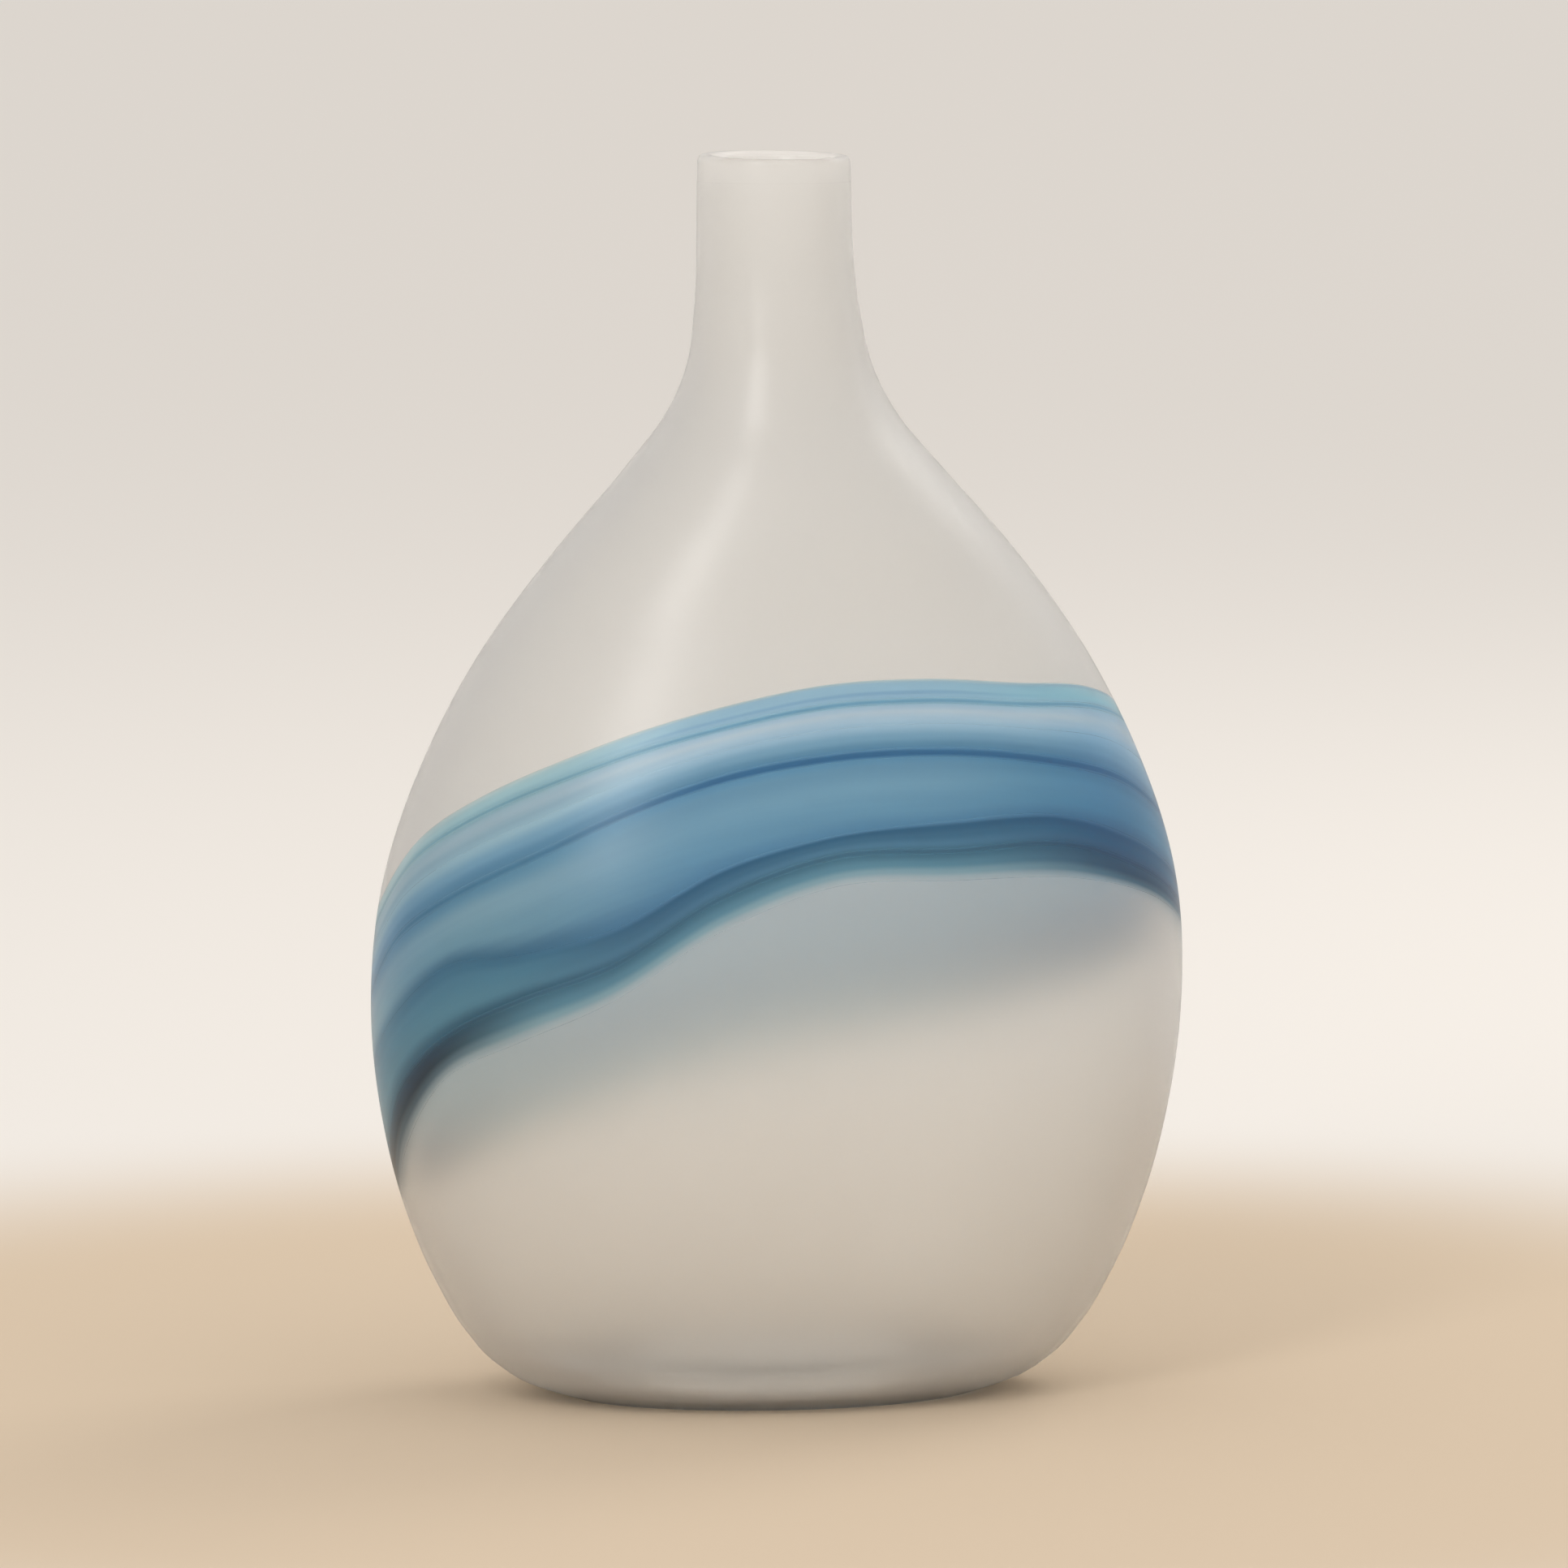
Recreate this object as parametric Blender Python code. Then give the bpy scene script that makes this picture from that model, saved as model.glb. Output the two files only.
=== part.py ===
"""Hand blown, flattened bottle vase: a clear inner bubble, satin clear casings, and colour ribbons laid round it.

The vase stands on z = 0 with its mouth up. Its broad sides face -Y (front) and +Y (back).
Every piece of the wall is a stretch of one oval skin, taken at a given depth below the outer surface.
"""

import math

import bpy
import numpy as np

# Driving dimensions, in metres. An angle round the body is in degrees: 0 is the front, 90 is +X.
HEIGHT = 0.300
LIP_BASE = 0.2933            # the lip bead starts here
FLATNESS = 0.64              # depth over width of the oval body
OVAL_BELOW = 0.185           # fully oval up to this height
ROUND_ABOVE = 0.260          # fully round from this height
CASING = 0.0022              # thickness of the satin casing and of the ribbons
LAYER_GAP = 0.00050          # between the casing layer and the bubble
EDGE_GAP = 0.0003            # between neighbours in the casing layer
BUBBLE = 0.0022              # thickness of the bubble's wall
HEEL_EXTRA = 0.0040          # how much thicker the bubble is at the floor
HEEL_FADE = 0.014            # height over which that extra thickness fades
THREAD = 0.0013              # width of the fine threads
TRAIL = 0.0022               # width of the dark trail
PONTIL_RADIUS = 0.012
PONTIL_BOTTOM = 0.0007
PONTIL_THICKNESS = 0.0010
COLUMNS = 48                 # facets round the body

# Half width against height, from the foot ring's edge up to the lip.
WALL = [(0.0, 0.050), (0.003, 0.0595), (0.0082, 0.0682), (0.016, 0.0754), (0.028, 0.0826), (0.046, 0.0902),
        (0.070, 0.0963), (0.098, 0.0990), (0.126, 0.0965), (0.155, 0.0869), (0.186, 0.0699), (0.206, 0.0546),
        (0.225, 0.0379), (0.237, 0.0282), (0.2475, 0.0229), (0.262, 0.0200), (0.281, 0.0188), (0.290, 0.0191),
        (HEIGHT, 0.0184)]
# Radius and height under the foot: the kick-up, then the flat ring that the vase stands on.
FOOT = [(0.014, 0.0024), (0.026, 0.0013), (0.036, 0.0), (0.043, 0.0)]
KICK_UP = 0.0026
# Sideways wander of the hand-blown centre line against height.
LEAN = [(0.0, -0.0010), (0.050, -0.0007), (0.090, -0.0002), (0.125, 0.0006), (0.170, 0.0011), (0.215, 0.0015),
        (0.245, 0.0005), (0.275, -0.0008), (HEIGHT, -0.0011)]

# Heights in mm of the colour swirl's five lines, at stations round the body.
STATIONS = [-90, -75, -60, -45, -30, -15, 0, 20, 40, 60, 80, 110, 145, 180, 215, 245, 270]
SWIRL = {
    "crest": [122, 138, 149, 158, 166, 172, 176, 177, 175, 173, 168, 157, 144, 134, 125, 119, 122],
    "trail": [100, 115, 126, 136, 147, 155, 159, 160, 157, 151, 140, 128, 117, 109, 102, 97, 100],
    "navy": [83, 96, 109, 113, 120, 134, 141, 144, 144, 136, 125, 117, 104, 94, 84, 78, 83],
    "seam": [60, 78, 92, 102, 111, 127, 136, 137, 137, 129, 118, 107, 93, 82, 67, 58, 60],
    "hem": [52, 68, 88, 97, 107, 122, 131, 131, 130, 124, 114, 100, 84, 73, 58, 50, 52],
}
THREAD_BELOW_CREST = 0.0050
OPAL_SHARE = 0.45            # the opal ribbon's part of the way from the thread to the trail

# Heights of the rows of facets. Casing and bubble share those of the heel and the neck, where the wall curves most.
HEEL_HEIGHTS = [0.0, 0.003, 0.009, 0.018, 0.032]
BELLY_HEIGHTS = [0.052, 0.076, 0.102, 0.130, 0.156, 0.180]
NECK_HEIGHTS = [0.200, 0.214, 0.226, 0.236, 0.246, 0.260, 0.278, LIP_BASE]
BELLY_ROWS = 5               # rows of the lower casing from the heel to the swirl
SHOULDER_ROWS = 5            # rows of the upper casing from the swirl to the neck

THETA = np.radians(np.arange(COLUMNS) * 360.0 / COLUMNS - 90.0)


def curve(points, x):
    """A smooth curve through the points: cubic pieces that share each point's slope."""
    known, value = np.array(points, dtype=float).T
    step = np.diff(known)
    rise = np.diff(value) / step
    slope = np.empty_like(value)
    slope[0], slope[-1] = rise[0], rise[-1]
    slope[1:-1] = (rise[:-1] * step[1:] + rise[1:] * step[:-1]) / (step[:-1] + step[1:])
    x = np.clip(x, known[0], known[-1])
    i = np.clip(np.searchsorted(known, x) - 1, 0, len(known) - 2)
    t = (x - known[i]) / step[i]
    start = (2 * t**3 - 3 * t**2 + 1) * value[i] + (t**3 - 2 * t**2 + t) * step[i] * slope[i]
    return start + (3 * t**2 - 2 * t**3) * value[i + 1] + (t**3 - t**2) * step[i] * slope[i + 1]


def swirl_line(name):
    """Height of one line of the swirl at every column, in metres."""
    degrees = np.degrees(THETA)
    turns = [-360, 0, 360]
    points = [(a + turn, h) for turn in turns for a, h in zip(STATIONS[:-1], SWIRL[name][:-1])]
    return curve(points, degrees) / 1000.0


def depth_ratio(z):
    """Depth over width of the oval at a height: flattened body, round neck."""
    t = np.clip((z - OVAL_BELOW) / (ROUND_ABOVE - OVAL_BELOW), 0.0, 1.0)
    return FLATNESS + (1.0 - FLATNESS) * t * t * (3.0 - 2.0 * t)


def outer_skin(theta, z):
    radius = curve(WALL, z)
    x = curve(LEAN, z) + radius * np.sin(theta)
    y = -radius * depth_ratio(z) * np.cos(theta)
    return np.stack([x, y, z], axis=-1)


def wall_ring(z, depth):
    """A ring of points at height z on the outer skin (a number, or one for each column), sunk straight in by depth."""
    z = np.broadcast_to(np.asarray(z, dtype=float), THETA.shape)
    small = 1e-5
    low = np.maximum(z, small)
    along = outer_skin(THETA + small, low) - outer_skin(THETA - small, low)
    up = outer_skin(THETA, low + small) - outer_skin(THETA, low - small)
    normal = np.cross(along, up)
    normal /= np.linalg.norm(normal, axis=1, keepdims=True)
    return outer_skin(THETA, z) - normal * depth


def flat_ring(radius, z):
    """A level oval ring, in the proportions of the foot."""
    return np.stack([LEAN[0][1] + radius * np.sin(THETA), -radius * FLATNESS * np.cos(THETA),
                     np.full(COLUMNS, z)], axis=-1)


def loft(name, rings, colour, roughness, bottom=None, top=None):
    """One closed solid through the rings; it joins end to end, or closes on a centre point at each end."""
    points = [tuple(p) for ring in rings for p in ring]
    faces = []

    def quads(a, b):
        for i in range(COLUMNS):
            j = (i + 1) % COLUMNS
            faces.append((a * COLUMNS + i, a * COLUMNS + j, b * COLUMNS + j, b * COLUMNS + i))

    for k in range(len(rings) - 1):
        quads(k, k + 1)
    if bottom is None:
        quads(len(rings) - 1, 0)
    else:
        first, last = len(points), len(points) + 1
        points += [bottom, top]
        end = (len(rings) - 1) * COLUMNS
        for i in range(COLUMNS):
            j = (i + 1) % COLUMNS
            faces.append((first, j, i))
            faces.append((last, end + i, end + j))
    mesh = bpy.data.meshes.new(name)
    mesh.from_pydata(points, [], faces)
    mesh.shade_smooth()
    mesh.set_sharp_from_angle(angle=math.radians(40))
    piece = bpy.data.objects.new(name, mesh)
    bpy.context.scene.collection.objects.link(piece)
    mesh.materials.append(glass(name, colour, roughness))
    return piece


def glass(name, colour, roughness):
    material = bpy.data.materials.new(name)
    material.use_nodes = True
    shader = material.node_tree.nodes["Principled BSDF"]
    shader.inputs["Base Color"].default_value = (*colour, 1.0)
    shader.inputs["Roughness"].default_value = roughness
    shader.inputs["Metallic"].default_value = 0.0
    shader.inputs["Transmission Weight"].default_value = 0.6
    return material


def band(name, low, high, colour, rows=1):
    """A ribbon of the casing layer between two lines of the swirl, given as heights at every column."""
    low = low + EDGE_GAP / 2
    high = high - EDGE_GAP / 2
    heights = [low + (high - low) * k / rows for k in range(rows + 1)]
    outside = [wall_ring(z, 0.0) for z in heights]
    inside = [wall_ring(z, CASING) for z in reversed(heights)]
    return loft(name, outside + inside, colour, 0.35)


def ribbons():
    crest, trail, navy, seam, hem = (swirl_line(name) for name in ("crest", "trail", "navy", "seam", "hem"))
    thread = crest - THREAD_BELOW_CREST
    opal = thread + (trail - thread) * OPAL_SHARE
    band("pale_ribbon", thread + THREAD / 2, crest, (0.42, 0.56, 0.62))
    band("upper_thread", thread - THREAD / 2, thread + THREAD / 2, (0.16, 0.32, 0.41))
    band("opal_ribbon", opal, thread - THREAD / 2, (0.50, 0.58, 0.64))
    band("haze_ribbon", trail + TRAIL / 2, opal, (0.27, 0.42, 0.53))
    band("dark_trail", trail - TRAIL / 2, trail + TRAIL / 2, (0.06, 0.16, 0.27))
    band("broad_ribbon", navy, trail - TRAIL / 2, (0.20, 0.37, 0.48), rows=2)
    band("navy_ribbon", seam + THREAD / 2, navy, (0.08, 0.20, 0.30), rows=2)
    band("seam_thread", seam - THREAD / 2, seam + THREAD / 2, (0.05, 0.13, 0.17))
    band("teal_ribbon", hem, seam - THREAD / 2, (0.12, 0.25, 0.31))
    return crest, hem


def casings(crest, hem):
    clear = (0.66, 0.65, 0.60)
    low = crest + EDGE_GAP / 2
    shoulder = [low + (NECK_HEIGHTS[0] - low) * k / SHOULDER_ROWS for k in range(SHOULDER_ROWS)]
    heights = shoulder + NECK_HEIGHTS
    rings = [wall_ring(z, 0.0) for z in heights] + [wall_ring(z, CASING) for z in reversed(heights)]
    loft("upper_casing", rings, clear, 0.45)

    climb = hem - EDGE_GAP / 2 - HEEL_HEIGHTS[-1]
    belly = [HEEL_HEIGHTS[-1] + climb * (k + 1) / BELLY_ROWS for k in range(BELLY_ROWS)]
    heights = HEEL_HEIGHTS + belly
    outside = [flat_ring(r, z) for r, z in FOOT] + [wall_ring(z, 0.0) for z in heights]
    inside = [wall_ring(z, CASING) for z in reversed(heights)]
    inside += [flat_ring(r, z + CASING) for r, z in reversed(FOOT)]
    axis = LEAN[0][1]
    loft("lower_casing", outside + inside, clear, 0.45,
         bottom=(axis, 0.0, KICK_UP), top=(axis, 0.0, KICK_UP + CASING))


def bubble():
    start = CASING + LAYER_GAP
    heights = HEEL_HEIGHTS + BELLY_HEIGHTS + NECK_HEIGHTS
    outside = [flat_ring(r, z + start) for r, z in FOOT] + [wall_ring(z, start) for z in heights]
    inside = []
    for z in reversed(heights):
        inside.append(wall_ring(z, start + BUBBLE + HEEL_EXTRA * math.exp(-z / HEEL_FADE)))
    floor = start + BUBBLE + HEEL_EXTRA
    inside += [flat_ring(r, z + floor) for r, z in reversed(FOOT)]
    axis = LEAN[0][1]
    loft("inner_bubble", outside + inside, (0.74, 0.76, 0.72), 0.08,
         bottom=(axis, 0.0, KICK_UP + start), top=(axis, 0.0, KICK_UP + floor))


def lip():
    """A fire-polished bead over the whole wall, whose crown rises and dips a little round the mouth."""
    wall = CASING + LAYER_GAP + BUBBLE
    base = LIP_BASE + EDGE_GAP
    crown = HEIGHT - base
    swell = np.cos(THETA + math.radians(165)) * 0.07 + 0.93
    profile = [(0.0, 0.0), (-0.05, 0.35), (0.06, 0.70), (0.25, 0.92), (0.50, 1.0), (0.75, 0.92), (0.94, 0.66),
               (1.0, 0.30), (1.0, 0.0)]
    rings = []
    for share, rise in profile:
        ring = wall_ring(LIP_BASE, share * wall)
        ring[:, 2] = base + crown * rise * swell
        rings.append(ring)
    loft("lip_ring", rings, (0.78, 0.79, 0.75), 0.05)


def pontil():
    axis = LEAN[0][1]
    top = PONTIL_BOTTOM + PONTIL_THICKNESS

    def ring(radius, z):
        return np.stack([axis + radius * np.sin(THETA), -radius * np.cos(THETA), np.full(COLUMNS, z)], axis=-1)

    bevel = 0.0003
    rings = [ring(PONTIL_RADIUS - bevel, PONTIL_BOTTOM), ring(PONTIL_RADIUS, PONTIL_BOTTOM + bevel),
             ring(PONTIL_RADIUS, top - bevel), ring(PONTIL_RADIUS - bevel, top)]
    loft("pontil_button", rings, (0.62, 0.64, 0.60), 0.25,
         bottom=(axis, 0.0, PONTIL_BOTTOM), top=(axis, 0.0, top))


def main():
    for old in list(bpy.data.objects):
        bpy.data.objects.remove(old, do_unlink=True)
    crest, hem = ribbons()
    casings(crest, hem)
    bubble()
    lip()
    pontil()


main()
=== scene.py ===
import math

import bmesh
import bpy
import numpy as np
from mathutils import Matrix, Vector


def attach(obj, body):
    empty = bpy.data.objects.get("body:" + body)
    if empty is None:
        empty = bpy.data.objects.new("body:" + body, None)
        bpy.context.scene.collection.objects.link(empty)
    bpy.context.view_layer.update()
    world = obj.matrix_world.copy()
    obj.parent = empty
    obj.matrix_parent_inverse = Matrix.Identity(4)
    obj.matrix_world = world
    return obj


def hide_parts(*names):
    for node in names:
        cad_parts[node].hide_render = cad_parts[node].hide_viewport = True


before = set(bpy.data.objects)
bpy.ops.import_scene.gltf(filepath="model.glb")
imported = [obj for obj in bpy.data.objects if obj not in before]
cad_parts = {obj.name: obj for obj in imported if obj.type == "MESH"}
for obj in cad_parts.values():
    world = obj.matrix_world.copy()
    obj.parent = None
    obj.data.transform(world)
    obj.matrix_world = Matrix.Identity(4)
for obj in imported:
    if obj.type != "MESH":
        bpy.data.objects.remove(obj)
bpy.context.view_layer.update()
print("frame loaded:", len(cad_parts), "pieces of glass")


class Socket:   # wraps a node's output, so that an expression on values adds its Math nodes
    def __init__(self, tree, out):
        self.tree, self.out = tree, out

    def maths(self, operation, *values):
        slots = {i: value for i, value in enumerate(values)}
        return self.tree.add("ShaderNodeMath", {"operation": operation}, slots)

    def __add__(self, other):
        return self.maths("ADD", self, other)

    def __mul__(self, other):
        return self.maths("MULTIPLY", self, other)

    def __sub__(self, other):
        return self.maths("SUBTRACT", self, other)

    def __rsub__(self, other):
        return self.maths("SUBTRACT", other, self)

    def __neg__(self):
        return self.maths("MULTIPLY", self, -1.0)

    __radd__ = __add__
    __rmul__ = __mul__

    def sine(self):
        return self.maths("SINE", self)

    def cosine(self):
        return self.maths("COSINE", self)


class Tree:     # adds nodes to a shader or geometry tree
    def __init__(self, nodeTree):
        self.nodeTree = nodeTree
        nodeTree.nodes.clear()

    def node(self, kind, settings=None, values=None):
        made = self.nodeTree.nodes.new(kind)
        for name, value in (settings or {}).items():
            if name == "stops":
                self.setStops(made.color_ramp, value)
            else:
                setattr(made, name, value)
        for name, value in (values or {}).items():
            if isinstance(value, Socket):
                self.nodeTree.links.new(value.out, made.inputs[name])
            else:
                made.inputs[name].default_value = value
        return made

    def setStops(self, ramp, stops):
        while len(ramp.elements) < len(stops):
            ramp.elements.new(0.5)
        for element, (place, colour) in zip(ramp.elements, stops):
            element.position = place
            element.color = (*colour, 1.0)

    def add(self, kind, settings=None, values=None, output=0):
        return Socket(self, self.node(kind, settings, values).outputs[output])

    def attribute(self, name, output="Fac"):
        return self.add("ShaderNodeAttribute", {"attribute_name": name}, output=output)

    def ramp(self, factor, stops, interpolation="EASE"):
        made = self.node("ShaderNodeValToRGB", {"stops": stops}, {"Fac": factor})
        made.color_ramp.interpolation = interpolation
        return Socket(self, made.outputs["Color"])

    def fade(self, value, low, high, curve="SMOOTHSTEP"):
        # 0 below low, 1 above high, and a soft run between them
        return self.add("ShaderNodeMapRange", {"interpolation_type": curve},
                        {"Value": value, "From Min": low, "From Max": high}, "Result")

    def mixColour(self, factor, first, second, blend="MIX"):
        made = self.node("ShaderNodeMix", {"data_type": "RGBA", "blend_type": blend})
        for index, value in ((0, factor), (6, first), (7, second)):
            if isinstance(value, Socket):
                self.nodeTree.links.new(value.out, made.inputs[index])
            elif index == 0:
                made.inputs[index].default_value = value
            else:
                made.inputs[index].default_value = (*value, 1.0)
        return Socket(self, made.outputs[2])


# the shape of the blown wall, in metres and degrees
vase = {
    "height": 0.300,
    "lipBase": 0.2933,
    "flatness": 0.64,        # depth over width of the body
    "ovalBelow": 0.185,
    "roundAbove": 0.260,
    "casing": 0.0022,
    "layerGap": 0.0005,
    "edgeGap": 0.00004,      # the ribbons are fused, so only a hair is left between them
    "bubble": 0.0022,
    "heelExtra": 0.0040,
    "heelFade": 0.014,
    "columns": 240,
    "rowStep": 0.0022,
    "ribbonStep": 0.0011,
    "sharpFrom": 38,         # edges sharper than this are the rims of the wall
    "weld": 0.00001,         # where the rolled-up sheet meets itself
    "rimWeld": 0.000005,     # where the sides of a layer meet its outer face
}
halfWidths = [            # (height, half of the width) from the foot to the lip
    (0.0, 0.050), (0.003, 0.0595), (0.0082, 0.0682), (0.016, 0.0754), (0.028, 0.0826), (0.046, 0.0902),
    (0.070, 0.0963), (0.098, 0.0990), (0.126, 0.0965), (0.155, 0.0869), (0.186, 0.0699), (0.206, 0.0546),
    (0.225, 0.0379), (0.237, 0.0282), (0.2475, 0.0229), (0.262, 0.0200), (0.281, 0.0187), (0.290, 0.0186),
    (0.300, 0.0183)]
leans = [                 # (height, how far the axis leans to one side)
    (0.0, -0.0010), (0.050, -0.0007), (0.090, -0.0002), (0.125, 0.0006), (0.170, 0.0011), (0.215, 0.0015),
    (0.245, 0.0005), (0.275, -0.0008), (0.300, -0.0011)]
footRings = [             # (radius, height) from the middle of the kick-up out to the foot
    (0.0, 0.0026), (0.007, 0.00255), (0.014, 0.0024), (0.020, 0.0019), (0.026, 0.0013), (0.032, 0.0005),
    (0.036, 0.0), (0.043, 0.0)]
swirl = {               # heights of the colour's lines in mm, at stations round the body
    "stations": [-90, -75, -60, -45, -30, -15, 0, 20, 40, 60, 80, 110, 145, 180, 215, 245],
    "crest": [122, 138, 149, 158, 166, 172, 176, 177, 175, 173, 168, 157, 144, 134, 125, 119],
    "trail": [100, 115, 126, 136, 147, 155, 159, 160, 157, 151, 140, 128, 117, 109, 102, 97],
    "navy": [83, 96, 109, 113, 120, 134, 141, 144, 144, 136, 125, 117, 104, 94, 84, 78],
    "seam": [60, 78, 92, 102, 111, 127, 136, 137, 137, 129, 118, 107, 93, 82, 67, 58],
    "hem": [49, 65, 82.5, 92, 102.5, 119, 129, 130, 129, 123, 113, 99, 83, 71, 56, 48],
    "threadBelowCrest": 0.0050,
    "threadWidth": 0.0013,
    "trailWidth": 0.0022,
    "opalShare": 0.45,
}
# the angle of each column, from the left side round the front; the first and the last column meet
turn = np.radians(np.arange(vase["columns"] + 1) * 360.0 / vase["columns"] - 90.0)


def smoothThrough(points, x):
    known, value = np.array(points, dtype=float).T
    step = np.diff(known)
    rise = np.diff(value) / step
    slope = np.empty_like(value)
    slope[0], slope[-1] = rise[0], rise[-1]
    slope[1:-1] = (rise[:-1] * step[1:] + rise[1:] * step[:-1]) / (step[:-1] + step[1:])
    x = np.clip(x, known[0], known[-1])
    i = np.clip(np.searchsorted(known, x) - 1, 0, len(known) - 2)
    t = (x - known[i]) / step[i]
    start = (2 * t**3 - 3 * t**2 + 1) * value[i] + (t**3 - 2 * t**2 + t) * step[i] * slope[i]
    return start + (3 * t**2 - 2 * t**3) * value[i + 1] + (t**3 - t**2) * step[i] * slope[i + 1]


def swirlLine(name):
    points = [(station + whole, height) for whole in (-360, 0, 360)
              for station, height in zip(swirl["stations"], swirl[name])]
    return smoothThrough(points, np.degrees(turn)) / 1000.0


# geometry nodes blow a flat sheet of rows out to the oval wall and give it its thickness
def groupInputs(group, inputs):
    made = {}
    for name, kind in inputs:
        made[name] = group.interface.new_socket(name=name, in_out="INPUT", socket_type=kind).identifier
    group.interface.new_socket(name="Geometry", in_out="OUTPUT", socket_type="NodeSocketGeometry")
    return made


def startGroup(name, extra):
    group = bpy.data.node_groups.new(name, "GeometryNodeTree")
    names = groupInputs(group, [("Geometry", "NodeSocketGeometry"), ("Flatness", "NodeSocketFloat"),
                                ("Oval Below", "NodeSocketFloat"), ("Round Above", "NodeSocketFloat"),
                                ("Under", "NodeSocketFloat"), ("Material", "NodeSocketMaterial"), *extra])
    tree = Tree(group)
    entry = tree.node("NodeGroupInput")
    given = {out.name: Socket(tree, out) for out in entry.outputs if out.name}
    return group, names, tree, given


def namedNumber(tree, name):
    return tree.add("GeometryNodeInputNamedAttribute", {"data_type": "FLOAT"}, {"Name": name}, "Attribute")


def blownSkin(tree, given):
    # the flat sheet rolled up round the axis, with the outward direction kept at each point
    angle, half, height, lean = (namedNumber(tree, n) for n in ("turn", "half", "height", "lean"))
    depth = tree.add("ShaderNodeMapRange", {"interpolation_type": "SMOOTHSTEP"},
                     {"Value": height, "From Min": given["Oval Below"], "From Max": given["Round Above"],
                      "To Min": given["Flatness"], "To Max": 1.0}, "Result")
    place = tree.add("ShaderNodeCombineXYZ", None, {"X": lean + half * angle.sine(),
                                                    "Y": -(half * depth * angle.cosine()), "Z": height})
    blown = tree.add("GeometryNodeSetPosition", None, {"Geometry": given["Geometry"], "Position": place})
    welded = tree.add("GeometryNodeMergeByDistance", None, {"Geometry": blown, "Distance": vase["weld"]})
    facing = tree.add("GeometryNodeInputNormal")
    capture = tree.node("GeometryNodeCaptureAttribute", {"domain": "POINT"}, {"Geometry": welded})
    capture.capture_items.new("VECTOR", "outward")
    tree.nodeTree.links.new(facing.out, capture.inputs[1])
    outward = Socket(tree, capture.outputs[1])
    return sunk(tree, Socket(tree, capture.outputs[0]), outward, given["Under"]), outward


def sunk(tree, geometry, outward, distance, selection=True):
    offset = tree.add("ShaderNodeVectorMath", {"operation": "SCALE"},
                      {"Vector": outward, "Scale": -distance})
    return tree.add("GeometryNodeSetPosition", None,
                    {"Geometry": geometry, "Selection": selection, "Offset": offset})


def endGroup(tree, geometry, given, jointPaint=None):
    smooth = tree.add("GeometryNodeSetShadeSmooth", None, {"Geometry": geometry, "Shade Smooth": True})
    real = tree.add("GeometryNodeRealizeInstances", None, {"Geometry": smooth})
    painted = tree.add("GeometryNodeSetMaterial", None, {"Geometry": real, "Material": given["Material"]})
    if jointPaint:
        painted = tree.add("GeometryNodeSetMaterial", None, {
            "Geometry": painted, "Selection": namedNumber(tree, "joint"), "Material": jointPaint})
    end = tree.node("NodeGroupOutput")
    tree.nodeTree.links.new(painted.out, end.inputs[0])


def blownWallTree():
    group, names, tree, given = startGroup("blownWall", [("Joint Material", "NodeSocketMaterial")])
    skin, outward = blownSkin(tree, given)
    extruded = tree.node("GeometryNodeExtrudeMesh", {"mode": "FACES"},
                         {"Mesh": skin, "Offset Scale": 0.0, "Individual": False})
    lining = sunk(tree, Socket(tree, extruded.outputs["Mesh"]), outward, namedNumber(tree, "thick"),
                  Socket(tree, extruded.outputs["Top"]))
    lining = tree.add("GeometryNodeFlipFaces", None, {"Mesh": lining})
    lining = tree.add("GeometryNodeStoreNamedAttribute", {"data_type": "FLOAT", "domain": "FACE"},
                      {"Geometry": lining, "Name": "joint", "Value": Socket(tree, extruded.outputs["Side"])})
    both = tree.node("GeometryNodeJoinGeometry")
    for part, inside in ((lining, 1.0), (skin, 0.0)):
        marked = tree.add("GeometryNodeStoreNamedAttribute", {"data_type": "FLOAT", "domain": "FACE"},
                          {"Geometry": part, "Name": "lining", "Value": inside})
        tree.nodeTree.links.new(marked.out, both.inputs[0])
    closed = tree.add("GeometryNodeMergeByDistance", None,
                      {"Geometry": Socket(tree, both.outputs[0]), "Distance": vase["rimWeld"]})
    endGroup(tree, closed, given, given["Joint Material"])
    return group, names


def seedTree():
    # tiny air bubbles scattered over a level inside the wall
    group, names, tree, given = startGroup("scatteredSeeds", [
        ("Density", "NodeSocketFloat"), ("Smallest", "NodeSocketFloat"), ("Largest", "NodeSocketFloat"),
        ("Random Seed", "NodeSocketInt")])
    skin, outward = blownSkin(tree, given)
    scatter = tree.add("GeometryNodeDistributePointsOnFaces", {"distribute_method": "RANDOM"},
                       {"Mesh": skin, "Density": given["Density"], "Seed": given["Random Seed"]}, "Points")
    drop = tree.add("GeometryNodeMeshIcoSphere", None, {"Radius": 1.0, "Subdivisions": 2}, "Mesh")
    size = tree.node("FunctionNodeRandomValue", {"data_type": "FLOAT"})
    for place, name in ((2, "Smallest"), (3, "Largest"), (8, "Random Seed")):
        tree.nodeTree.links.new(given[name].out, size.inputs[place])
    seeds = tree.add("GeometryNodeInstanceOnPoints", None,
                     {"Points": scatter, "Instance": drop, "Scale": Socket(tree, size.outputs[1])})
    endGroup(tree, seeds, given)
    return group, names


wallTree, wallInputs = blownWallTree()


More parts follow.
